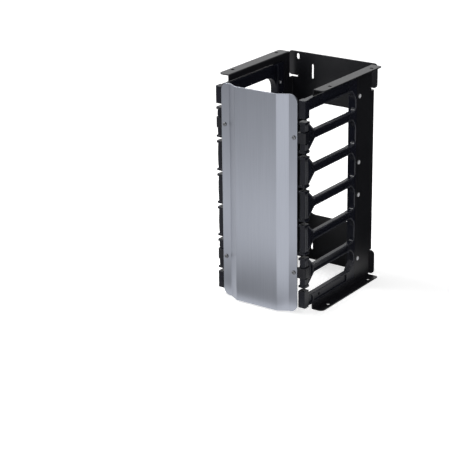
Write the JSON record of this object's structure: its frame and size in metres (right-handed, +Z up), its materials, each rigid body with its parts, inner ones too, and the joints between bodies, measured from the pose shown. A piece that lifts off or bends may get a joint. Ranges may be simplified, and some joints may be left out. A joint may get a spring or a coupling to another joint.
{
  "type": "cable management channel",
  "caption": "Short vertical rack cable channel: one folded steel chassis with a windowed back, moulded finger combs along both front edges and a bevelled brushed cover that swings open.",
  "frame": {"origin": "middle of the four holes in the lower flanges, level with the flanges' underside", "axes": "+Z up along the channel, +Y to the rear face that goes against the rack, +X to the right seen from the cover"},
  "size_m": [0.1574, 0.1805, 0.291],
  "materials": {
    "black_steel": "fine satin black powder coat",
    "black_plastic": "satin moulded black plastic",
    "clip_plastic": "satin moulded black plastic",
    "rivet_metal": "bright domed heads",
    "brushed_cover": "brushed up and down and clear anodised",
    "screw_metal": "bright plated"
  },
  "bodies": {
    "frame": {"folded_chassis": "black_steel", "left_finger_comb": "black_plastic", "right_finger_comb": "black_plastic", "left_comb_rivets": "rivet_metal", "right_comb_rivets": "rivet_metal"},
    "cover": {"front_cover": "brushed_cover", "cover_screws": "screw_metal", "upper_left_clip": "clip_plastic", "upper_right_clip": "clip_plastic", "lower_left_clip": "clip_plastic", "lower_right_clip": "clip_plastic"}
  },
  "joints": [
    {"name": "cover_hinge", "type": "hinge", "parent": "frame", "child": "cover", "pos_m": [-0.06175, -0.0896, 0.1455], "axis": [0, 0, -1], "range_deg": [0, 110]}
  ]
}
